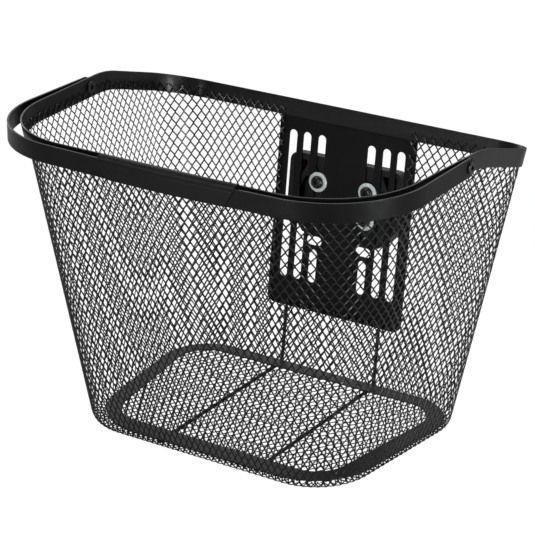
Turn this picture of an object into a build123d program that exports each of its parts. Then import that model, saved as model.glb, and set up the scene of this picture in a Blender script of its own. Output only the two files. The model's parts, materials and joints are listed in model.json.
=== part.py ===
from build123d import *
import math
import os

# Handlebar basket: tapered expanded-metal basket with a flat steel rim, a folding
# carrying handle and a quick-release plate on the back.
# Millimetres. +Z up, +X right seen from the front, front (grip side) at -Y,
# handlebar side at +Y. Origin at the centre of the bounding box's bottom face.

# ---- levels, bottom to top ----
WIRE_D = 3.0                 # support wire diameter; the wires touch z = 0
SHEET_T = 1.2                # expanded metal thickness
RING_T = 1.2                 # floor ring thickness
RING_DISH = 1.5              # the ring's inner edge stands this much higher
RING_LIFT = 0.65             # the ring's outer edge rides on the sheet's rounded edge
FLOOR_Z = WIRE_D             # underside of the floor sheet
RIM_Z = 262.0                # top of the rim in front and at the sides
RIM_BACK_Z = 231.5           # top of the rim at the back wall

# ---- plan of the sheet's outer face, at the floor and at the rim ----
PLAN_Y = 9.4                 # floor ring centre, measured from the origin
FLOOR_HALF_BACK = 145.0
FLOOR_HALF_FRONT = 124.5
FLOOR_BACK = 94.6
FLOOR_FRONT = -99.8
FLOOR_R_BACK = 46.0
FLOOR_R_FRONT = 52.0
TOP_HALF_BACK = 181.9
TOP_HALF_FRONT = 169.0
TOP_BACK = 129.2
TOP_FRONT = -138.4
TOP_R_BACK = 33.0
TOP_R_FRONT = 77.0
HEEL_R = 7.0                 # rounded edge between walls and floor

# ---- rim band ----
BAND_T = 1.6
BAND_H = 16.0
MESH_TUCK = 8.0              # the sheet ends this far below the rim's top
BEND_Y = 26.8                # where the rim turns down towards the back
BEND_R = 105.0
SHEET_EDGE_R = 0.4           # deburred edges of the plate, the ring and the washers

# ---- floor ring ----
RING_HALF_BACK = 139.7
RING_HALF_FRONT = 119.2
RING_HALF_DEPTH = 91.3
RING_R_BACK = 42.0
RING_R_FRONT = 58.0
RING_INNER_R_BACK = 26.0
RING_INNER_R_FRONT = 29.0
RING_W = 16.0
SEAM_INSET = 12.0            # floor sheet meets wall sheet this far inside the wall

# ---- support wires ----
WIRE_X = 46.1
WIRE_FRONT = -86.0

# ---- mounting plate (heights are measured along z) ----
PLATE_T = 2.0
PLATE_HALF = 66.3
PLATE_LOW = 52.8
PLATE_HIGH = 230.0
PLATE_R = 8.0
SLOT_W = 8.0
SLOT_X = (24.2, 38.8, 52.6)
SLOT_HIGH = 205.8
SLOT_LOW = 77.8
INNER_HIGH_END = 174.5       # lower end of the inner column's upper slot
SCREW_SLOT = (124.0, 171.0)
INNER_LOW_END = 107.0        # upper end of the inner column's lower slot
OVAL_Z = 114.6
OVAL_L = 15.0
WINDOW_HALF = 61.0
WINDOW_LOW = 58.0

# ---- screws ----
SCREW_Z = (165.9, 142.3)
SCREW_X = 24.2
SCREW_D = 6.0
HEAD_D = 11.0
HEAD_H = 3.3
SOCKET_D = 4.0
WASHER_D = 17.0
WASHER_HOLE = 6.4
WASHER_T = 1.6
NUT_FLATS = 10.0
NUT_T = 5.0

# ---- adapter plate ----
ADAPTER_HALF = 54.6
ADAPTER_HIGH = 187.3
ADAPTER_LOW = 119.6
ADAPTER_FACE = 133.0         # vertical rear face
ADAPTER_R = 8.0
ADAPTER_FLARE = (17.5, 19.5) # lower corner cut, across and up
POCKET_X = (35.5, 50.0)      # recesses beside the screws, each split by a diagonal rib
POCKET_Z = (146.0, 182.0)
POCKET_RIB = 9.0
POCKET_R = 1.5
POCKET_DEPTH = 6.0
LATCH_R = 4.0
LATCH_DEPTH = 12.0
LATCH_IN = 8.0               # bore axis ahead of the rear face

# ---- handle ----
PIVOT_Y = 2.0
HANDLE_T = 2.0
HANDLE_H = 15.0
PIVOT_Z = RIM_Z - HANDLE_H / 2
HANDLE_HALF_PIVOT = 180.9
HANDLE_HALF_FRONT = 183.0
HANDLE_FRONT = -144.9
HANDLE_BOW = 6.6
HANDLE_R = 80.0
HANDLE_BOW_R = 900.0
HANDLE_EDGE_R = 0.5

# ---- pivots ----
RIVET_D = 6.0
RIVET_BORE = 4.2
RIVET_HEAD_D = 10.0
RIVET_HEAD_T = 1.2
RIVET_FIT = 0.06             # radial running clearance in the handle
SPACER_D = 12.0
SPACER_T = 1.2

# ---- grip ----
GRIP_X = 9.0
GRIP_HALF_TOP = 61.5
GRIP_HALF_LOW = 53.5
GRIP_FACE = 0.9              # stands proud of the strip
GRIP_BACK = 5.2              # fills the gap towards the rim
BEAD_Z = RIM_Z + 0.4
BEAD_TOP = RIM_Z + 2.6
BEAD_OVER = 7.2              # the bead reaches over the rim
BEAD_R = 1.4


def plan(half_back, half_front, back, front, r_back, r_front, z):
    """Closed rounded trapezoid at height z."""
    corners = [(half_back, back), (half_front, front), (-half_front, front), (-half_back, back)]
    points = [(x, y + PLAN_Y, z) for x, y in corners]
    return FilletPolyline(*points, radius=[r_back, r_front, r_front, r_back], close=True)


def wall_plan(z, inset=0.0):
    """Plan of the sheet's outer face at height z, moved inwards by inset."""
    share = (z - FLOOR_Z) / (RIM_Z - FLOOR_Z)

    def between(low, high):
        return low + (high - low) * share

    return plan(
        between(FLOOR_HALF_BACK, TOP_HALF_BACK) - inset,
        between(FLOOR_HALF_FRONT, TOP_HALF_FRONT) - inset,
        between(FLOOR_BACK, TOP_BACK) - inset,
        between(FLOOR_FRONT, TOP_FRONT) + inset,
        between(FLOOR_R_BACK, TOP_R_BACK) - inset,
        between(FLOOR_R_FRONT, TOP_R_FRONT) - inset,
        z,
    )


def wall_body(z_low, z_high, inset, heel):
    """Tapered block inside the sheet's outer face, its lower edge rounded by heel."""
    sections = [make_face(wall_plan(z, inset)) for z in (z_low, z_high)]
    block = loft(sections, ruled=True)
    low_edges = block.edges().filter_by_position(Axis.Z, z_low - 0.1, z_low + 0.1)
    return fillet(low_edges, heel) if heel else block


def rim_side_profile(high, low):
    """Side view of a strip that follows the rim, from high to low below its top."""
    slope = (RIM_Z - RIM_BACK_Z) / (TOP_BACK - BEND_Y)
    bend = BEND_Y + PLAN_Y
    y_front, y_back = -200.0, 200.0
    z_back = RIM_Z - slope * (y_back - bend)
    edge = [(y_front, RIM_Z), (bend, RIM_Z), (y_back, z_back)]
    top = Plane.YZ * FilletPolyline(*[(y, z - high) for y, z in edge], radius=BEND_R)
    low_edge = Plane.YZ * FilletPolyline(*[(y, z - low) for y, z in edge], radius=BEND_R)
    ends = [Line(top @ t, low_edge @ t) for t in (0, 1)]
    return extrude(make_face([top, low_edge] + ends), amount=300, both=True)


def x_cylinder(radius, x_low, x_high, y=PIVOT_Y + PLAN_Y, z=PIVOT_Z):
    """Round bar along X, by default on the handle's pivot axis."""
    plane = Plane(origin=(x_low, y, z), z_dir=(1, 0, 0))
    return extrude(plane * Circle(radius), amount=x_high - x_low)


# ---- back wall's own frame: across, up the slope, outwards ----
BACK_SLOPE = (TOP_BACK - FLOOR_BACK) / (RIM_Z - FLOOR_Z)
BACK_LEAN = math.atan(BACK_SLOPE)
BACK_ORIGIN_Y = FLOOR_BACK - BACK_SLOPE * FLOOR_Z + PLAN_Y
BACK_OUT = (0, math.cos(BACK_LEAN), -math.sin(BACK_LEAN))


def back_plane(out=0.0):
    """Plane parallel to the back wall, out millimetres outside the sheet."""
    origin = (0, BACK_ORIGIN_Y + out * BACK_OUT[1], out * BACK_OUT[2])
    return Plane(origin=origin, x_dir=(-1, 0, 0), z_dir=BACK_OUT)


def up(z):
    """Distance up the back wall for a height z."""
    return z / math.cos(BACK_LEAN)


def slot(x, z_low, z_high):
    """Upright slot with round ends on the back wall's plane."""
    middle = (up(z_low) + up(z_high)) / 2
    length = up(z_high) - up(z_low)
    return Pos(x, middle) * SlotOverall(length, SLOT_W, rotation=90)


def make_wall_mesh():
    outer = wall_body(FLOOR_Z, RIM_Z, 0, HEEL_R)
    inner = wall_body(FLOOR_Z + SHEET_T, RIM_Z + 1, SHEET_T, HEEL_R - SHEET_T)
    floor_cut = extrude(make_face(wall_plan(FLOOR_Z, SEAM_INSET)), amount=SHEET_T, both=True)
    below_rim = rim_side_profile(MESH_TUCK, 300)
    window_high = RIM_Z + 10
    window = Pos(0, 130 + PLAN_Y, (WINDOW_LOW + window_high) / 2)
    window *= Box(2 * WINDOW_HALF, 120, window_high - WINDOW_LOW)
    sheet = (outer - inner - floor_cut) & below_rim
    sheet -= window
    for side in (-1, 1):
        x_low, x_high = sorted((side * 150, side * 190))
        sheet -= x_cylinder(RIVET_HEAD_D / 2 + 1.5, x_low, x_high)
    return sheet


def make_floor_mesh():
    return extrude(make_face(wall_plan(FLOOR_Z, SEAM_INSET)), amount=SHEET_T)


def make_rim_band():
    outer = wall_body(FLOOR_Z, RIM_Z + 1, -BAND_T, 0)
    inner = wall_body(FLOOR_Z, RIM_Z + 1, 0, 0)
    band = (outer - inner) & rim_side_profile(0, BAND_H)
    for side in (-1, 1):
        x_low, x_high = sorted((side * 150, side * 190))
        band -= x_cylinder(RIVET_D / 2 + 0.3, x_low, x_high)
    return band


def ring_plan(inset, z):
    """Plan of the ring at height z, from its outer edge to its inner edge at RING_W."""
    share = inset / RING_W
    return plan(
        RING_HALF_BACK - inset,
        RING_HALF_FRONT - inset,
        RING_HALF_DEPTH - inset,
        inset - RING_HALF_DEPTH,
        RING_R_BACK + (RING_INNER_R_BACK - RING_R_BACK) * share,
        RING_R_FRONT + (RING_INNER_R_FRONT - RING_R_FRONT) * share,
        z,
    )


def make_floor_ring():
    low = FLOOR_Z + SHEET_T + RING_LIFT

    def dished_block(z):
        return loft([make_face(ring_plan(0, z)), make_face(ring_plan(RING_W, z + RING_DISH))], ruled=True)

    rim = extrude(make_face(ring_plan(0, low)), amount=RING_T)
    opening = extrude(make_face(ring_plan(RING_W, low)), amount=10, both=True)
    ring = rim + dished_block(low + RING_T) - dished_block(low) - opening
    return fillet(ring.edges(), SHEET_EDGE_R)


def make_support_wire(side):
    radius = WIRE_D / 2
    out = radius / math.cos(BACK_LEAN)
    heel_y = BACK_ORIGIN_Y + out + BACK_SLOPE * radius
    top_z = PLATE_LOW - WIRE_D * BACK_SLOPE
    top_y = BACK_ORIGIN_Y + out + BACK_SLOPE * top_z
    x = side * WIRE_X
    points = [(x, WIRE_FRONT + PLAN_Y, radius), (x, heel_y, radius), (x, top_y, top_z)]
    path = FilletPolyline(*points, radius=HEEL_R + radius)
    start = Plane(origin=points[0], z_dir=(0, 1, 0))
    return sweep(start * Circle(radius), path=path)


def make_mounting_plate():
    height = up(PLATE_HIGH) - up(PLATE_LOW)
    middle = (up(PLATE_HIGH) + up(PLATE_LOW)) / 2
    outline = Pos(0, middle) * RectangleRounded(2 * PLATE_HALF, height, PLATE_R)
    for side in (-1, 1):
        inner, second, third = [side * x for x in SLOT_X]
        outline -= slot(second, SLOT_LOW, SLOT_HIGH)
        outline -= slot(third, SLOT_LOW, SLOT_HIGH)
        outline -= slot(inner, INNER_HIGH_END, SLOT_HIGH)
        outline -= slot(inner, *SCREW_SLOT)
        outline -= slot(inner, SLOT_LOW, INNER_LOW_END)
        outline -= Pos(inner, up(OVAL_Z)) * SlotOverall(OVAL_L, SLOT_W)
    plate = extrude(back_plane(BAND_T) * outline, amount=PLATE_T)
    return fillet(plate.edges(), SHEET_EDGE_R)


def screw_places():
    """Local places of the four adapter screws: upper pair, then lower pair."""
    return [(side * SCREW_X, up(z)) for z in SCREW_Z for side in (1, -1)]


PLATE_OUT = BAND_T + PLATE_T     # adapter's front face, outside the sheet


def disc(radius, place, out_low, out_high):
    """Round bar square to the back wall between two distances outside it."""
    face = back_plane(out_low) * (Pos(*place) * Circle(radius))
    return extrude(face, amount=out_high - out_low)


def make_washer(place):
    low = BAND_T - WASHER_T
    washer = disc(WASHER_D / 2, place, low, BAND_T) - disc(WASHER_HOLE / 2, place, low - 1, BAND_T + 1)
    return fillet(washer.edges().filter_by(GeomType.CIRCLE), SHEET_EDGE_R)


SCREW_END = PLATE_OUT + 9.5
NUT_OUT = PLATE_OUT + 3.5


def make_screw(place):
    seat = BAND_T - WASHER_T
    head = disc(HEAD_D / 2, place, seat - HEAD_H, seat)
    dome_edge = head.edges().filter_by(GeomType.CIRCLE).group_by(Axis.Y)[0]
    head = fillet(dome_edge, HEAD_H * 0.7)
    socket = back_plane(seat - HEAD_H - 1) * (Pos(*place) * RegularPolygon(SOCKET_D / math.sqrt(3), 6))
    head -= extrude(socket, amount=1 + HEAD_H * 0.6)
    return head + disc(SCREW_D / 2, place, seat, SCREW_END)


def hexagon(place, flats, out_low, out_high):
    face = back_plane(out_low) * (Pos(*place) * RegularPolygon(flats / math.sqrt(3), 6))
    return extrude(face, amount=out_high - out_low)


def make_nut(place):
    nut = hexagon(place, NUT_FLATS, NUT_OUT, NUT_OUT + NUT_T)
    return nut - disc(SCREW_D / 2, place, NUT_OUT - 1, NUT_OUT + NUT_T + 1)


def make_adapter_plate():
    top, low = up(ADAPTER_HIGH), up(ADAPTER_LOW)
    across, rise = ADAPTER_FLARE
    half = ADAPTER_HALF
    corners = [
        (-half + across, low),
        (half - across, low),
        (half, low + rise),
        (half, top),
        (-half, top),
        (-half, low + rise),
    ]
    outline = make_face(Polyline(*corners, close=True))
    upper = outline.vertices().group_by(Axis.Y)[-1]
    outline = fillet(upper, ADAPTER_R)
    outline = fillet(outline.vertices().group_by(Axis.Y)[0], 3)
    block = extrude(back_plane(PLATE_OUT) * outline, amount=40)
    rear = Box(300, 100, 400, align=(Align.CENTER, Align.MIN, Align.CENTER))
    block -= Pos(0, ADAPTER_FACE + PLAN_Y, 150) * rear

    def pocket(points):
        """Recess in the front face over a polygon of (across, height) points."""
        corners = [(x, up(z)) for x, z in points]
        face = make_face(Polyline(*corners, close=True))
        face = fillet(face.vertices(), POCKET_R)
        return extrude(back_plane(PLATE_OUT - 1) * face, amount=POCKET_DEPTH + 1)

    block -= pocket([(-12, 132), (12, 132), (12, 176), (-12, 176)])
    for side in (-1, 1):
        inner, outer = side * POCKET_X[0], side * POCKET_X[1]
        low, high = POCKET_Z
        block -= pocket([(inner, high), (outer, high), (outer, low + POCKET_RIB)])
        block -= pocket([(inner, high - POCKET_RIB), (outer, low), (inner, low)])
    for place in screw_places():
        block -= disc(WASHER_HOLE / 2, place, PLATE_OUT - 1, 60)
        block -= hexagon(place, NUT_FLATS + 0.1, NUT_OUT, 60)
    below = Box(300, 300, 100, align=(Align.CENTER, Align.CENTER, Align.MAX))
    block -= Pos(0, ADAPTER_FACE, ADAPTER_LOW) * below
    latch = Cylinder(LATCH_R, LATCH_DEPTH, align=(Align.CENTER, Align.CENTER, Align.MIN))
    return block - Pos(0, ADAPTER_FACE + PLAN_Y - LATCH_IN, ADAPTER_LOW) * latch


def handle_line(inset, z):
    """Open plan line of the handle's outer face, moved inwards by inset."""
    front = HANDLE_FRONT + PLAN_Y + inset
    rear = PIVOT_Y + PLAN_Y + HANDLE_H
    half_front = HANDLE_HALF_FRONT - inset
    half_rear = HANDLE_HALF_PIVOT - inset
    points = [
        (half_rear, rear, z),
        (half_front, front, z),
        (0, front - HANDLE_BOW, z),
        (-half_front, front, z),
        (-half_rear, rear, z),
    ]
    corner = HANDLE_R - inset
    return FilletPolyline(*points, radius=[corner, HANDLE_BOW_R, corner])


def handle_strip(inset_out, inset_in, z_low, z_high):
    """Upright strip between two insets from the handle's outer face."""
    outside = handle_line(inset_out, z_low)
    inside = handle_line(inset_in, z_low)
    ends = [Line(outside @ t, inside @ t) for t in (0, 1)]
    return extrude(make_face([outside, inside] + ends), amount=z_high - z_low, dir=(0, 0, 1))


def is_bore(edge):
    return edge.geom_type == GeomType.CIRCLE and edge.radius < RIVET_D


def make_handle_band():
    strip = handle_strip(0, HANDLE_T, PIVOT_Z - HANDLE_H / 2, PIVOT_Z + HANDLE_H / 2)
    ahead = Box(400, 400, 100, align=(Align.CENTER, Align.MAX, Align.CENTER))
    side_view = Pos(0, PIVOT_Y + PLAN_Y, PIVOT_Z) * ahead
    side_view += x_cylinder(HANDLE_H / 2, -200, 200)
    band = (strip & side_view) - x_cylinder(RIVET_D / 2 + RIVET_FIT, -200, 200)
    outline = band.edges().filter_by(lambda edge: not is_bore(edge))
    return fillet(outline, HANDLE_EDGE_R)


def make_handle_grip():
    low = PIVOT_Z - HANDLE_H / 2
    cover = handle_strip(-GRIP_FACE, GRIP_BACK, low, BEAD_TOP)
    bead = handle_strip(-GRIP_FACE, BEAD_OVER, BEAD_Z, BEAD_TOP)
    trapezoid = [
        (GRIP_X - GRIP_HALF_LOW, low - 1),
        (GRIP_X + GRIP_HALF_LOW, low - 1),
        (GRIP_X + GRIP_HALF_TOP, RIM_Z),
        (GRIP_X + GRIP_HALF_TOP, BEAD_TOP + 1),
        (GRIP_X - GRIP_HALF_TOP, BEAD_TOP + 1),
        (GRIP_X - GRIP_HALF_TOP, RIM_Z),
    ]
    prism = extrude(make_face(Plane.XZ * Polyline(*trapezoid, close=True)), amount=220)
    grip = (cover + bead) & prism
    top_edges = grip.edges().filter_by_position(Axis.Z, BEAD_TOP - 0.1, BEAD_TOP + 0.1)
    long_edges = top_edges.filter_by(lambda edge: edge.length > 20)
    grip = fillet(long_edges, BEAD_R)
    return grip - handle_strip(0, HANDLE_T, low - 5, RIM_Z)


def make_pivot(side):
    """Rivet, spacer and rolled backing washer of one side, as name and solid."""
    handle_out = HANDLE_HALF_PIVOT + (HANDLE_HALF_FRONT - HANDLE_HALF_PIVOT) * 0.1
    head_in = handle_out + 0.4
    spacer_out = handle_out - HANDLE_T - 0.3
    spacer_in = spacer_out - SPACER_T
    flare_out = band_inner_x() - 1.2
    flare_in = flare_out - RIVET_HEAD_T

    def bar(radius, x_near, x_far):
        x_low, x_high = sorted((side * x_near, side * x_far))
        return x_cylinder(radius, x_low, x_high)

    bore = bar(RIVET_BORE / 2, 100, 300)
    shank = bar(RIVET_D / 2, flare_in, head_in)
    head = bar(RIVET_HEAD_D / 2, head_in, head_in + RIVET_HEAD_T)
    rim_edge = head.edges().filter_by(GeomType.CIRCLE).sort_by(lambda edge: abs(edge.center().X))[-1]
    rivet = shank + fillet(rim_edge, RIVET_HEAD_T * 0.7) - bore
    spacer = bar(SPACER_D / 2, spacer_in, spacer_out) - bar(RIVET_D / 2, 100, 300)
    flare = bar(RIVET_HEAD_D / 2, flare_in, flare_out) - bar(RIVET_D / 2, 100, 300)
    return {"rivet": rivet, "spacer": spacer, "flare": flare}


def band_inner_x():
    """Half width of the band's inner face at the pivot."""
    share = (PIVOT_Z - FLOOR_Z) / (RIM_Z - FLOOR_Z)
    half_back = FLOOR_HALF_BACK + (TOP_HALF_BACK - FLOOR_HALF_BACK) * share
    half_front = FLOOR_HALF_FRONT + (TOP_HALF_FRONT - FLOOR_HALF_FRONT) * share
    along = (TOP_BACK - PIVOT_Y) / (TOP_BACK - TOP_FRONT)
    return half_back + (half_front - half_back) * along


def build():
    """All sub-parts by name."""
    parts = {
        "rim_band": make_rim_band(),
        "wall_mesh": make_wall_mesh(),
        "floor_mesh": make_floor_mesh(),
        "floor_ring": make_floor_ring(),
        "mounting_plate": make_mounting_plate(),
        "adapter_plate": make_adapter_plate(),
        "handle_band": make_handle_band(),
        "handle_grip": make_handle_grip(),
    }
    for side, word in ((-1, "left"), (1, "right")):
        parts["support_wire_" + word] = make_support_wire(side)
        for piece, solid in make_pivot(side).items():
            parts["pivot_" + piece + "_" + word] = solid
    for number, place in enumerate(screw_places(), start=1):
        parts["adapter_screw_" + str(number)] = make_screw(place)
        parts["adapter_washer_" + str(number)] = make_washer(place)
        parts["adapter_nut_" + str(number)] = make_nut(place)
    return parts


def main():
    os.makedirs("parts", exist_ok=True)
    for name, solid in build().items():
        box = solid.bounding_box()
        print(name, [round(v, 2) for v in (*box.min, *box.max)])
        export_step(solid, "parts/" + name + ".step")


main()
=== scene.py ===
import json
import math

import bmesh
import bpy
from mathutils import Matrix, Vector


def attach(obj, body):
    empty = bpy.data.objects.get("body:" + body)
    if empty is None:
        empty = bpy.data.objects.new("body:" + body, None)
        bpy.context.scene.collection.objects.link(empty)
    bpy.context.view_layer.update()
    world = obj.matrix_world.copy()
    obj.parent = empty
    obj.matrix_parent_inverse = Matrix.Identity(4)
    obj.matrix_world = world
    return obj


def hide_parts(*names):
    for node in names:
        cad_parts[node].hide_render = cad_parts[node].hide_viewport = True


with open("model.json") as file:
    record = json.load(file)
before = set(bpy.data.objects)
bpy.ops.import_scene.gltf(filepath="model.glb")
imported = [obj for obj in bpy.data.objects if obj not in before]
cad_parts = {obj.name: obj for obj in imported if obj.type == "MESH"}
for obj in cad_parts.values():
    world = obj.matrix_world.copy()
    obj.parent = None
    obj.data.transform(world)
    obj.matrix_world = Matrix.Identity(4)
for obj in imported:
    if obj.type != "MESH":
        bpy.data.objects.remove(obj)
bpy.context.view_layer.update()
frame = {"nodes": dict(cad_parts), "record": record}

# Handlebar basket. Lengths are millimetres until a mesh is made, which is in metres.
MM = 0.001

# ---- plan of the sheet's outer face, at the floor and at the rim ----
FLOOR_Z = 3.0
RIM_Z = 262.0
PLAN_Y = 9.4                 # the plans are drawn about their own origin and moved back by this
FLOOR_PLAN = {
    "half_back": 145.0,
    "half_front": 124.5,
    "back": 94.6,
    "front": -99.8,
    "r_back": 46.0,
    "r_front": 52.0,
}
RIM_PLAN = {
    "half_back": 181.9,
    "half_front": 169.0,
    "back": 129.2,
    "front": -138.4,
    "r_back": 33.0,
    "r_front": 77.0,
}
HEEL_R = 7.0                 # bend from the wall to the hem that lies under the ring
SEAM_INSET = 12.0            # the hem's edge, in from the outer face at the floor

# ---- rim ----
BAND_T = 1.6
BAND_H = 16.0
BAND_EDGE_R = 0.5
RIM_STATIONS = 720
MESH_TUCK = 8.0              # the sheet ends this far below the band's top edge
BEND_AT = 26.8               # the top edge bends down here, in the plan's own frame
BEND_Y = BEND_AT + PLAN_Y
BEND_R = 105.0
RIM_BACK_Z = 231.5
RIM_SLOPE = (RIM_Z - RIM_BACK_Z) / (RIM_PLAN["back"] - BEND_AT)

# ---- handle and grip ----
HANDLE_H = 15.0
HANDLE_HALF_FRONT = 183.0
HANDLE_FRONT = -144.9
HANDLE_BOW = 6.6             # the front stands out this much in the middle
HANDLE_BOW_R = 900.0
GRIP_X = 9.0
GRIP_HALF_TOP = 61.5
GRIP_HALF_LOW = 53.5
CREASE_Z = 260.3
BEAD_TOP = 264.5
BEAD_OVER = 7.2              # the bead reaches this far in over the band
GRIP_END_R = 0.4
GRIP_STATIONS = 60

# ---- expanded metal ----
WALL_COLUMNS = 142
STRAND_SPAN = 13.1           # two strands end to end, which the stretched sheet keeps
ROWS_SPARE = 20.0            # rows go on until RIM_Z plus this, along the sheet, then are cut off
FLOOR_COLUMN = 6.67
FLOOR_ROW = 12.0
FLOOR_COLUMNS = 44
FLOOR_ROWS = 18
FLOOR_CUTS = 48              # straight cuts that trim the floor's sheet to its outline
FLOOR_GAP = 0.4              # between the floor's sheet and the wall's hem
DIP = 0.20                   # the diamonds are this much narrower in the front's left half
DIP_PLACE = -0.06            # as a share of the way round, from the front's middle
DIP_WIDTH = 0.085
STRAND_W = 1.24
STRAND_T = 0.72
STRAND_BEVEL = 0.3
STRAND_TILT = 0.1            # one edge of a strand is this much deeper, the other less deep
BOND_HALF = 0.42             # half the length that two strands share
BOND_W = 1.5
WALL_JOIN = 0.0              # the wall's mesh is in two halves, in front of and behind this
SHEET_DEPTH = 0.74           # middle of the strands, inside the sheet's outer face
BACK_WALL = 90.0             # near the window only the back wall is behind this
WINDOW_HALF = 61.0           # opening in the back wall, at the mounting plate
WINDOW_LOW = 58.0
WINDOW_MARGIN = 15.0         # faces this near the window are cut along its edges
PIVOT_Y = 2.0 + PLAN_Y
PIVOT_Z = 254.5
PIVOT_CLEAR = 6.5            # radius of the holes in the sheet round the rivets

SHARP_ANGLE = 50.0           # degrees; an edge whose faces turn more than this looks sharp
RIM_SHARP_ANGLE = 60.0
CUT_TOLERANCE = 1e-7         # metres, since it is used on a mesh


# ================= plan geometry =================

def plan_sizes(z):
    share = (z - FLOOR_Z) / (RIM_Z - FLOOR_Z)
    return {key: FLOOR_PLAN[key] + (RIM_PLAN[key] - FLOOR_PLAN[key]) * share for key in FLOOR_PLAN}


def half_outline(z):
    """The outline's right half from the front's middle to the back's middle, as lines and arcs."""
    p = plan_sizes(z)
    turn_front = math.atan2(p["back"] - p["front"], p["half_back"] - p["half_front"])
    turn_back = math.pi - turn_front
    cut_front = p["r_front"] * math.tan(turn_front / 2)
    cut_back = p["r_back"] * math.tan(turn_back / 2)
    side = math.hypot(p["back"] - p["front"], p["half_back"] - p["half_front"]) - cut_front - cut_back
    pieces = [
        (p["half_front"] - cut_front, 0.0),
        (p["r_front"] * turn_front, 1 / p["r_front"]),
        (side, 0.0),
        (p["r_back"] * turn_back, 1 / p["r_back"]),
        (p["half_back"] - cut_back, 0.0),
    ]
    return p["front"], pieces


OUTLINES = {}


def outline(z):
    key = round(z, 4)
    if key not in OUTLINES:
        OUTLINES[key] = half_outline(z)
    return OUTLINES[key]


def half_length(z):
    return sum(length for length, bend in outline(z)[1])


def plan_point(share, z):
    """Point and outward direction in plan, share of the way round from the front's middle."""
    share %= 1.0
    mirror = 1.0
    if share > 0.5:
        share, mirror = 1.0 - share, -1.0
    front, pieces = outline(z)
    left = share * 2 * half_length(z)
    x, y, heading = 0.0, front, 0.0
    for length, bend in pieces:
        step = min(left, length)
        if bend:
            middle = heading + step * bend / 2
            chord = 2 / bend * math.sin(step * bend / 2)
            x += chord * math.cos(middle)
            y += chord * math.sin(middle)
            heading += step * bend
        else:
            x += step * math.cos(heading)
            y += step * math.sin(heading)
        left -= step
        if left <= 0:
            break
    return mirror * x, y + PLAN_Y, mirror * math.sin(heading), -math.cos(heading)


def turn_at(column):
    """Column as a share of all columns, from -0.5 to 0.5 with 0 at the front's middle."""
    turn = column / WALL_COLUMNS
    return turn - round(turn)


def column_share(column):
    """Share of the way round for a column of diamonds; they are narrower near DIP_PLACE."""
    turn = turn_at(column)

    def swept(t):
        return t - DIP * DIP_WIDTH * math.sqrt(math.pi) / 2 * math.erf((t - DIP_PLACE) / DIP_WIDTH)

    return (swept(turn) - swept(-0.5)) / (swept(0.5) - swept(-0.5)) - 0.5


def wall_place(column, height, depth):
    """Point of the sheet: column round it, height along it from its seam under the ring, depth inwards."""
    share = column_share(column)
    x0, y0, nx, ny = plan_point(share, FLOOR_Z)
    x1, y1 = plan_point(share, RIM_Z)[:2]
    lean = math.atan2((x1 - x0) * nx + (y1 - y0) * ny, RIM_Z - FLOOR_Z)
    turn = math.pi / 2 - lean
    tangent = HEEL_R * math.tan(turn / 2)
    flat = SEAM_INSET - tangent
    arc = HEEL_R * turn
    if height < flat:
        inwards = SEAM_INSET - height
        return x0 - nx * inwards, y0 - ny * inwards, FLOOR_Z + depth
    if height < flat + arc:
        angle = (height - flat) / HEEL_R
        radius = HEEL_R - depth
        out = radius * math.sin(angle) - tangent
        return x0 + nx * out, y0 + ny * out, FLOOR_Z + HEEL_R - radius * math.cos(angle)
    z = FLOOR_Z + (tangent + height - flat - arc) * math.cos(lean)
    x, y, nx, ny = plan_point(share, z)
    inwards = depth * math.cos(lean)
    return x - nx * inwards, y - ny * inwards, z + depth * math.sin(lean)


def floor_place(column, row, depth):
    return column * FLOOR_COLUMN, row * FLOOR_ROW + PLAN_Y, FLOOR_Z + depth


def mean_width(height):
    """Width of a diamond at a height, on average round the wall."""
    return 2 * half_length(min(FLOOR_Z + height, RIM_Z)) / WALL_COLUMNS


def wall_width(column, height):
    near = 1 - DIP * math.exp(-((turn_at(column) - DIP_PLACE) / DIP_WIDTH) ** 2)
    return mean_width(height) * near


def wall_rows():
    """Heights of the half rows. The strands keep their length, so wide diamonds are low."""
    heights = [0.0]
    while heights[-1] < RIM_Z + ROWS_SPARE:
        width = mean_width(heights[-1])
        heights.append(heights[-1] + math.sqrt(STRAND_SPAN ** 2 - width ** 2) / 2)
    return heights


def row_place(heights, row):
    """Height at a row, counted in whole diamonds, and the diamonds' height there."""
    step = min(max(int(2 * row), 0), len(heights) - 2)
    half = heights[step + 1] - heights[step]
    return heights[step] + (2 * row - step) * half, 2 * half


# ================= mesh building =================

def make_object(name, bm, sharp_angle=SHARP_ANGLE):
    mesh = bpy.data.meshes.new(name)
    bm.to_mesh(mesh)
    bm.free()
    mesh.polygons.foreach_set("use_smooth", [True] * len(mesh.polygons))
    mesh.set_sharp_from_angle(angle=math.radians(sharp_angle))
    obj = bpy.data.objects.new(name, mesh)
    bpy.context.scene.collection.objects.link(obj)
    return obj


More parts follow.
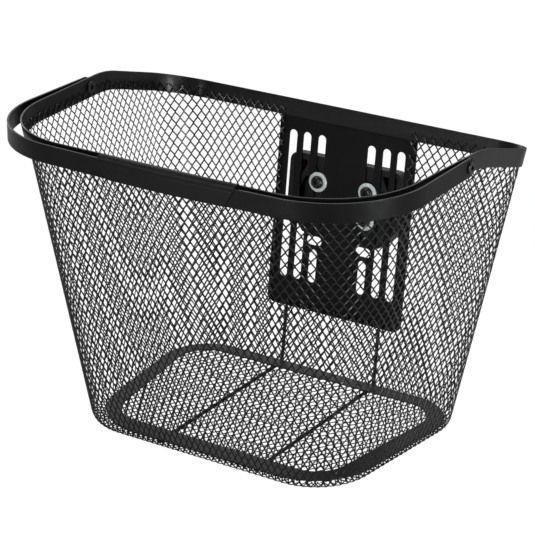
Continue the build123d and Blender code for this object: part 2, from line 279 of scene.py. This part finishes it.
def diamond_sheet(place, size_at, columns, half_rows, closed):
    """Expanded metal: diamonds long way up, strands tilted as the press leaves them.

    place(column, row, depth) gives a point of the sheet in millimetres and size_at(column,
    row) a diamond's width and height. In half steps i of column and j of row, a bond, where
    two strands meet, is where i + j is even, and a hole is where it is odd. A hole has six
    corners in each of three layers: outer face, the strand's middle, where it is widest, and
    inner face. A closed sheet goes right round.
    """
    around = 2 * columns
    verts, faces, base = [], [], {}
    half_t = STRAND_T / 2
    left_low, low, right_low, right_high, high, left_high = range(6)
    layer_step = 6

    def hole(i, j):
        if closed:
            i %= around
        if (i, j) not in base:
            c, r = i / 2, j / 2
            half_a, half_b = [size / 2 for size in size_at(c, r)]
            run = half_b - 2 * BOND_HALF
            slant = math.hypot(half_a, run)
            # Corners are in diamonds from the hole's middle, so half a diamond is 0.5.
            base[i, j] = len(verts)
            for layer in (-1, 0, 1):
                bevel = STRAND_BEVEL if layer else 0
                narrow = (STRAND_W / 2 - bevel) * slant / half_a
                half_bond = BOND_W / 2 - bevel
                x = 0.5 * (1 - half_bond / half_a)
                y = 0.5 * (BOND_HALF + run / half_a * half_bond - narrow) / half_b
                peak = 0.5 * (half_b - BOND_HALF - narrow) / half_b
                depth = SHEET_DEPTH + layer * half_t
                corners = ((-x, -y), (0, -peak), (x, -y), (x, y), (0, peak), (-x, y))
                for (dc, dr), tilt in zip(corners, (1, 0, -1, -1, 0, 1)):
                    verts.append([v * MM for v in place(c + dc, r + dr, depth + tilt * STRAND_TILT)])
        return base[i, j]

    def side(p, q):
        """A strand's flank from the outer face to the inner one, which its middle parts in two."""
        for _ in range(2):
            faces.append([p, q, q + layer_step, p + layer_step])
            p, q = p + layer_step, q + layer_step

    def plate(*corners):
        """A face on the outer side and its match on the inner side."""
        faces.append(list(corners))
        faces.append([corner + 2 * layer_step for corner in reversed(corners)])

    for j in range(half_rows):
        for i in range(around if closed else around + 1):
            if (i + j) % 2:
                continue
            east, west, north, south = hole(i + 1, j), hole(i - 1, j), hole(i, j + 1), hole(i, j - 1)
            plate(
                south + high,
                east + left_low,
                east + left_high,
                north + low,
                west + right_high,
                west + right_low,
            )
            side(east + left_high, east + left_low)
            side(west + right_low, west + right_high)
            if j + 1 == half_rows:
                continue
            if closed or i < around:
                plate(east + left_high, east + high, north + right_low, north + low)
                side(east + high, east + left_high)
                side(north + low, north + right_low)
            if closed or i > 0:
                plate(north + low, north + left_low, west + high, west + right_high)
                side(north + left_low, north + low)
                side(west + right_high, west + high)
    mesh = bpy.data.meshes.new("sheet")
    mesh.from_pydata(verts, [], faces)
    bm = bmesh.new()
    bm.from_mesh(mesh)
    bpy.data.meshes.remove(mesh)
    bmesh.ops.delete(bm, geom=[vert for vert in bm.verts if not vert.link_faces], context="VERTS")
    close_ends(bm)
    return bm


def close_ends(bm):
    """Closes the strands that are open where the sheet ends or was cut."""
    bmesh.ops.holes_fill(bm, edges=[edge for edge in bm.edges if edge.is_boundary], sides=0)


def split(bm, point, normal, keep=lambda face: True, away=False):
    """Cuts the faces that keep allows along a plane, given in millimetres; away drops what is beyond."""
    chosen = [face for face in bm.faces if keep(face)]
    # A dictionary keeps its order, where a set would give a new one in each run.
    geometry = dict.fromkeys(chosen)
    for face in chosen:
        geometry.update(dict.fromkeys([*face.edges, *face.verts]))
    bmesh.ops.bisect_plane(
        bm,
        geom=list(geometry),
        dist=CUT_TOLERANCE,
        plane_co=Vector(point) * MM,
        plane_no=Vector(normal),
        clear_outer=away,
    )


def drop(bm, inside):
    """Deletes the faces whose middle, in millimetres, is inside."""
    doomed = [face for face in bm.faces if inside(face.calc_center_median() / MM)]
    bmesh.ops.delete(bm, geom=doomed, context="FACES")


def make_wall():
    """The wall's sheet as two closed meshes, since one would have too many triangles to export."""
    heights = wall_rows()

    def place(column, row, depth):
        return wall_place(column, row_place(heights, row)[0], depth)

    def size_at(column, row):
        height, tall = row_place(heights, row)
        return wall_width(column, height), tall

    bm = diamond_sheet(place, size_at, WALL_COLUMNS, len(heights), closed=True)
    split(bm, (0, 0, RIM_Z - MESH_TUCK), (0, 0, 1), away=True)
    split(bm, (0, BEND_Y, RIM_Z - MESH_TUCK), (0, RIM_SLOPE, 1), away=True)

    def near_window(face):
        centre = face.calc_center_median() / MM
        beside = abs(centre.x) < WINDOW_HALF + WINDOW_MARGIN
        return centre.y > BACK_WALL and beside and centre.z > WINDOW_LOW - WINDOW_MARGIN

    split(bm, (WINDOW_HALF, 0, 0), (1, 0, 0), near_window)
    split(bm, (-WINDOW_HALF, 0, 0), (1, 0, 0), near_window)
    split(bm, (0, 0, WINDOW_LOW), (0, 0, 1), near_window)
    drop(bm, lambda p: p.y > BACK_WALL and abs(p.x) < WINDOW_HALF and p.z > WINDOW_LOW)
    drop(bm, lambda p: math.hypot(p.y - PIVOT_Y, p.z - PIVOT_Z) < PIVOT_CLEAR)
    halves = []
    for name, facing in (("wall_expanded_metal_front", 1), ("wall_expanded_metal_back", -1)):
        half = bm.copy()
        split(half, (0, WALL_JOIN, 0), (0, facing, 0), away=True)
        close_ends(half)
        halves.append(make_object(name, half))
    bm.free()
    return halves


def make_floor():
    def place(column, row, depth):
        return floor_place(column - FLOOR_COLUMNS / 2, row - FLOOR_ROWS / 2, depth)

    def size_at(column, row):
        return FLOOR_COLUMN, FLOOR_ROW

    bm = diamond_sheet(place, size_at, FLOOR_COLUMNS, 2 * FLOOR_ROWS + 1, closed=False)
    inwards = SEAM_INSET + FLOOR_GAP
    for cut in range(FLOOR_CUTS):
        x, y, nx, ny = plan_point(cut / FLOOR_CUTS, FLOOR_Z)
        split(bm, (x - nx * inwards, y - ny * inwards, 0), (nx, ny, 0), away=True)
    close_ends(bm)
    return make_object("floor_expanded_metal", bm)


def rim_top(y):
    """Height of the rim's top edge, which bends down towards the back."""
    angle = math.atan(RIM_SLOPE)
    half = BEND_R * math.tan(angle / 2)
    if y < BEND_Y - half:
        return RIM_Z
    start = BEND_Y - half
    if y < start + BEND_R * math.sin(angle):
        return RIM_Z - BEND_R + math.sqrt(BEND_R ** 2 - (y - start) ** 2)
    return RIM_Z - RIM_SLOPE * (y - BEND_Y)


def rounded_section(thickness, height, radius, steps=4):
    """Closed outline of a flat bar on edge: (outwards, below top)."""
    points = []
    corners = [
        (thickness - radius, radius, 0),
        (radius, radius, 90),
        (radius, height - radius, 180),
        (thickness - radius, height - radius, 270),
    ]
    for out, below, start in corners:
        for step in range(steps + 1):
            angle = math.radians(start + 90 * step / steps)
            points.append((out + radius * math.cos(angle), below - radius * math.sin(angle)))
    return points


def bridge(bm, this, after):
    """Faces between two rings that have the same number of vertices."""
    count = len(this)
    for k in range(count):
        bm.faces.new((this[k], this[(k + 1) % count], after[(k + 1) % count], after[k]))


def make_rim():
    section = rounded_section(BAND_T, BAND_H, BAND_EDGE_R)
    bm = bmesh.new()
    rings = []
    for station in range(RIM_STATIONS):
        share = station / RIM_STATIONS
        ring = []
        for out, below in section:
            x, y, nx, ny = plan_point(share, RIM_Z)
            # The height depends on y, and y on the height, so three rounds bring them together.
            for _ in range(3):
                z = rim_top(y + ny * out) - below
                x, y, nx, ny = plan_point(share, z)
            ring.append(bm.verts.new(Vector((x + nx * out, y + ny * out, z)) * MM))
        rings.append(ring)
    for this, after in zip(rings, rings[1:] + rings[:1]):
        bridge(bm, this, after)
    bmesh.ops.recalc_face_normals(bm, faces=bm.faces)
    return make_object("rim_rolled_band", bm, RIM_SHARP_ANGLE)


def handle_face(x):
    """Y of the handle's outer face in front, which bows out towards the middle."""
    slope = HANDLE_BOW / HANDLE_HALF_FRONT
    bend = HANDLE_BOW_R * math.sin(math.atan(slope))
    x = abs(x)
    if x > bend:
        return HANDLE_FRONT - HANDLE_BOW + slope * x
    middle = HANDLE_FRONT - HANDLE_BOW + HANDLE_BOW_R * (math.hypot(1, slope) - 1)
    return middle + HANDLE_BOW_R - math.sqrt(HANDLE_BOW_R ** 2 - x ** 2)


def smooth_loop(points, steps):
    """Closed Catmull-Rom curve through the points, with steps from each to the next."""
    made = []
    count = len(points)
    for k in range(count):
        a, b, c, d = [Vector(points[(k + shift) % count]) for shift in (-1, 0, 1, 2)]
        for step in range(steps):
            t = step / steps
            linear = (c - a) * t
            square = (2 * a - 5 * b + 4 * c - d) * t * t
            cube = (3 * b - a - 3 * c + d) * t ** 3
            made.append(0.5 * (2 * b + linear + square + cube))
    return made


def grip_section():
    """Closed outline of the grip: (inwards from the handle's outer face, height)."""
    low = RIM_Z - HANDLE_H
    front_face = [(-0.5, low), (-0.9, low + 0.4), (-0.92, low + 3), (-0.95, low + 6.5), (-0.92, low + 10)]
    crease = [(-0.88, CREASE_Z - 0.7), (-0.5, CREASE_Z), (-0.85, CREASE_Z + 0.6), (-0.4, CREASE_Z + 1.7)]
    bead = [(1.0, BEAD_TOP - 1.1), (3.0, BEAD_TOP - 0.2), (4.8, BEAD_TOP), (6.4, BEAD_TOP - 0.5)]
    lip = [(BEAD_OVER, BEAD_TOP - 1.5), (BEAD_OVER - 0.5, RIM_Z + 0.5), (5.4, RIM_Z + 0.3)]
    inner_face = [(5.0, RIM_Z - 1.5), (5.0, low + 7), (5.0, low + 1), (4.5, low + 0.1), (2, low)]
    return smooth_loop(front_face + crease + bead + lip + inner_face, steps=3)


def make_grip():
    """The grip, which is longer at the top than below, so its ends slant."""
    section = grip_section()
    low = RIM_Z - HANDLE_H
    bm = bmesh.new()
    rings = []
    for station in range(GRIP_STATIONS + 1):
        along = 2 * station / GRIP_STATIONS - 1
        ring = []
        for inwards, z in section:
            share = min(1, max(0, (z - low) / HANDLE_H))
            x = GRIP_X + along * (GRIP_HALF_LOW + (GRIP_HALF_TOP - GRIP_HALF_LOW) * share)
            ring.append(bm.verts.new(Vector((x, handle_face(x) + PLAN_Y + inwards, z)) * MM))
        rings.append(ring)
    for this, after in zip(rings, rings[1:]):
        bridge(bm, this, after)
    caps = [bm.faces.new(rings[0]), bm.faces.new(rings[-1])]
    bmesh.ops.recalc_face_normals(bm, faces=bm.faces)
    edges = [edge for cap in caps for edge in cap.edges]
    offset = GRIP_END_R * MM
    bmesh.ops.bevel(bm, geom=edges, offset=offset, segments=3, affect="EDGES", profile=0.6)
    return make_object("handle_grip_cover", bm)


# ================= materials =================

NOISE_SPREAD = (0.3, 0.7)    # most of a noise's values are between these
TINT_SPREAD = (0.35, 0.65)   # and for colours, a narrower part of them
COAT_DARK = (0.82, 0.82, 0.86)
COAT_LIGHT = (1.2, 1.2, 1.26)


def material(name, colour, roughness, specular=0.5, metallic=0.0):
    made = bpy.data.materials.new(name)
    made.use_nodes = True
    shader = made.node_tree.nodes["Principled BSDF"]
    shader.inputs["Base Color"].default_value = (*colour, 1)
    shader.inputs["Roughness"].default_value = roughness
    shader.inputs["Specular IOR Level"].default_value = specular
    shader.inputs["Metallic"].default_value = metallic
    return made, shader


def noise(tree, size_mm, detail=2.0):
    """Noise whose blobs are about size_mm across."""
    coordinates = tree.nodes.new("ShaderNodeTexCoord")
    texture = tree.nodes.new("ShaderNodeTexNoise")
    texture.inputs["Scale"].default_value = 1 / (size_mm * MM)
    texture.inputs["Detail"].default_value = detail
    tree.links.new(coordinates.outputs["Object"], texture.inputs["Vector"])
    return texture.outputs["Fac"]


def vary(tree, source, low, high, target):
    """Drives the target from low to high with the noise."""
    spread = tree.nodes.new("ShaderNodeMapRange")
    spread.inputs["From Min"].default_value = NOISE_SPREAD[0]
    spread.inputs["From Max"].default_value = NOISE_SPREAD[1]
    spread.inputs["To Min"].default_value = low
    spread.inputs["To Max"].default_value = high
    tree.links.new(source, spread.inputs["Value"])
    tree.links.new(spread.outputs["Result"], target)


def tint(tree, source, dark, light, target):
    """Drives the target from the dark colour to the light one with the noise."""
    ramp = tree.nodes.new("ShaderNodeValToRGB")
    for element, position, colour in zip(ramp.color_ramp.elements, TINT_SPREAD, (dark, light)):
        element.position = position
        element.color = (*colour, 1)
    tree.links.new(source, ramp.inputs["Fac"])
    tree.links.new(ramp.outputs["Color"], target)


def grain(tree, shader, size_mm, depth_mm, strength):
    """Bump that is too fine to be a shape."""
    bump = tree.nodes.new("ShaderNodeBump")
    bump.inputs["Distance"].default_value = depth_mm * MM
    bump.inputs["Strength"].default_value = strength
    tree.links.new(noise(tree, size_mm, detail=1.0), bump.inputs["Height"])
    tree.links.new(bump.outputs["Normal"], shader.inputs["Normal"])


def powder_coat(name, grey, roughness, specular=0.35, peel_mm=0.9, peel_depth=0.012):
    made, shader = material(name, (grey, grey, grey * 1.06), roughness, specular)
    tree = made.node_tree
    dark = [grey * v for v in COAT_DARK]
    light = [grey * v for v in COAT_LIGHT]
    blotches, sheen = noise(tree, size_mm=22, detail=3.0), noise(tree, size_mm=7, detail=3.0)
    tint(tree, blotches, dark, light, shader.inputs["Base Color"])
    vary(tree, sheen, roughness - 0.035, roughness + 0.035, shader.inputs["Roughness"])
    grain(tree, shader, peel_mm, peel_depth, strength=0.6)
    return made


def moulded(name, grey, roughness, specular=0.35, grain_mm=0.35, depth=0.02):
    made, shader = material(name, (grey, grey, grey), roughness, specular)
    tree = made.node_tree
    blotches, sheen = noise(tree, size_mm=30), noise(tree, size_mm=5)
    tint(tree, blotches, [grey * 0.9] * 3, [grey * 1.12] * 3, shader.inputs["Base Color"])
    vary(tree, sheen, roughness - 0.04, roughness + 0.05, shader.inputs["Roughness"])
    grain(tree, shader, grain_mm, depth, strength=0.8)
    return made


def zinc_plate(name):
    made, shader = material(name, (0.72, 0.78, 0.79), roughness=0.3, metallic=0.3)
    tree = made.node_tree
    blotches, sheen = noise(tree, size_mm=3, detail=3.0), noise(tree, size_mm=1.2, detail=3.0)
    tint(tree, blotches, (0.66, 0.72, 0.73), (0.78, 0.84, 0.85), shader.inputs["Base Color"])
    vary(tree, sheen, 0.26, 0.38, shader.inputs["Roughness"])
    grain(tree, shader, size_mm=0.5, depth_mm=0.006, strength=0.4)
    return made


MATERIALS = {
    "powder_coat": powder_coat("powder_coat", 0.009, 0.33),
    "mesh_coat": powder_coat("mesh_coat", 0.003, 0.28, specular=0.45, peel_mm=0.5, peel_depth=0.006),
    "plate_coat": powder_coat("plate_coat", 0.003, 0.4, specular=0.15),
    "handle_coat": powder_coat("handle_coat", 0.0025, 0.33, specular=0.22),
    "grip_plastic": moulded("grip_plastic", 0.003, 0.44, specular=0.2),
    "adapter_plastic": moulded("adapter_plastic", 0.003, 0.42, specular=0.25),
    "black_rivet": powder_coat("black_rivet", 0.014, 0.3, specular=0.5, peel_mm=0.4, peel_depth=0.004),
    "spacer_nylon": moulded("spacer_nylon", 0.015, 0.5),
    "black_screw": powder_coat("black_screw", 0.008, 0.26, specular=0.5, peel_mm=0.3, peel_depth=0.003),
    "zinc": zinc_plate("zinc"),
}


def paint(obj, slot):
    obj.data.materials.clear()
    obj.data.materials.append(MATERIALS[slot])


# ================= assembly =================

NODE_SLOTS = {part["node"]: part["material_slot"] for part in frame["record"]["subparts"]}
for node, obj in frame["nodes"].items():
    paint(obj, NODE_SLOTS[node])


def add(piece, body, slot, *nodes):
    paint(piece, slot)
    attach(piece, body)
    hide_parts(*nodes)


for wall_half in make_wall():
    add(wall_half, "basket", "mesh_coat", "wall_mesh")
add(make_floor(), "basket", "mesh_coat", "floor_mesh")
add(make_rim(), "basket", "powder_coat", "rim_band")
add(make_grip(), "handle", "grip_plastic", "handle_grip")


# ================= studio =================

# Lengths here are metres, and angles are degrees.
ROOM_LIGHT = 0.1             # strength of the world as a source of light
ROOM_SEEN = 1.05             # and as the camera sees it
TABLE_GLOW = 0.97            # share of the table's own light in what the camera sees
TABLE_SEEN = 1.03            # strength of that light
TABLE_HALF = 4.0             # half its side
TABLE_Z = -0.0002            # just clear of the wires
AIM = Vector((0, 0, 0.13))   # the lights face the basket's middle

CAMERA_PLACE = (0.93163, -1.41359, 0.83871)
CAMERA_DOWN = 22.51
CAMERA_TURN = 33.17
CAMERA_LENS = 154.01         # millimetres, with a sensor 36 wide
CAMERA_SENSOR = 36.0

# Name, azimuth, elevation, distance, size, radiance.
SOFTBOXES = (
    ("key_box", -40, 50, 2.4, (1.2, 1.2), 3.0),
    ("near_box", 57, 30, 2.3, (0.5, 0.5), 7.0),
    ("left_box", -108, 10, 2.3, (0.8, 0.8), 6.0),
    ("front_strip", -10, 4, 2.3, (0.3, 0.5), 38.0),
    ("side_strip", 80, 4, 2.3, (0.34, 0.5), 66.0),
    ("back_panel", 213, 30, 2.4, (3.2, 1.6), 1.2),
    ("right_panel", 135, 32, 2.4, (2.0, 1.4), 1.4),
    ("top_panel", 150, 75, 2.2, (1.6, 1.6), 0.7),
)


def make_stage():
    """White table: bright to the camera, with a faint shadow, and a mild grey in reflections."""
    bm = bmesh.new()
    quarters = ((-1, -1), (1, -1), (1, 1), (-1, 1))
    bm.faces.new([bm.verts.new((x * TABLE_HALF, y * TABLE_HALF, TABLE_Z)) for x, y in quarters])
    stage = make_object("studio_floor", bm)
    made, shader = material("pale_floor", (0.5, 0.5, 0.5), roughness=0.9, specular=0.1)
    tree = made.node_tree
    glow = tree.nodes.new("ShaderNodeEmission")
    glow.inputs["Strength"].default_value = TABLE_SEEN
    path = tree.nodes.new("ShaderNodeLightPath")
    share = tree.nodes.new("ShaderNodeMath")
    share.operation = "MULTIPLY"
    share.inputs[1].default_value = TABLE_GLOW
    mix = tree.nodes.new("ShaderNodeMixShader")
    tree.links.new(path.outputs["Is Camera Ray"], share.inputs[0])
    tree.links.new(share.outputs["Value"], mix.inputs["Fac"])
    tree.links.new(shader.outputs["BSDF"], mix.inputs[1])
    tree.links.new(glow.outputs["Emission"], mix.inputs[2])
    tree.links.new(mix.outputs["Shader"], tree.nodes["Material Output"].inputs["Surface"])
    stage.data.materials.append(made)


def make_softbox(name, azimuth, elevation, distance, size, radiance):
    """Panel facing the object. Azimuth runs from the front towards +X, in degrees."""
    data = bpy.data.lights.new(name, "AREA")
    data.shape = "RECTANGLE"
    data.size, data.size_y = size
    data.energy = radiance * math.pi * size[0] * size[1]
    light = bpy.data.objects.new(name, data)
    around, rise = math.radians(azimuth), math.radians(elevation)
    away = Vector((math.sin(around) * math.cos(rise), -math.cos(around) * math.cos(rise), math.sin(rise)))
    light.location = AIM + away * distance
    light.rotation_euler = away.to_track_quat("Z", "Y").to_euler()
    light.visible_camera = False
    bpy.context.scene.collection.objects.link(light)


def make_world():
    """White where the camera looks, and dimmer as a source of light."""
    world = bpy.data.worlds.new("studio")
    world.use_nodes = True
    bpy.context.scene.world = world
    tree = world.node_tree
    background = tree.nodes["Background"]
    background.inputs["Color"].default_value = (1, 1, 1, 1)
    path = tree.nodes.new("ShaderNodeLightPath")
    strength = tree.nodes.new("ShaderNodeMapRange")
    strength.inputs["To Min"].default_value = ROOM_LIGHT
    strength.inputs["To Max"].default_value = ROOM_SEEN
    tree.links.new(path.outputs["Is Camera Ray"], strength.inputs["Value"])
    tree.links.new(strength.outputs["Result"], background.inputs["Strength"])


def make_camera():
    data = bpy.data.cameras.new("camera")
    data.sensor_width = CAMERA_SENSOR
    data.lens = CAMERA_LENS
    camera = bpy.data.objects.new("camera", data)
    camera.location = CAMERA_PLACE
    camera.rotation_euler = (math.radians(90 - CAMERA_DOWN), 0, math.radians(CAMERA_TURN))
    bpy.context.scene.collection.objects.link(camera)
    bpy.context.scene.camera = camera


make_stage()
make_world()
make_camera()
bpy.context.scene.view_settings.view_transform = "Standard"
for softbox in SOFTBOXES:
    make_softbox(*softbox)
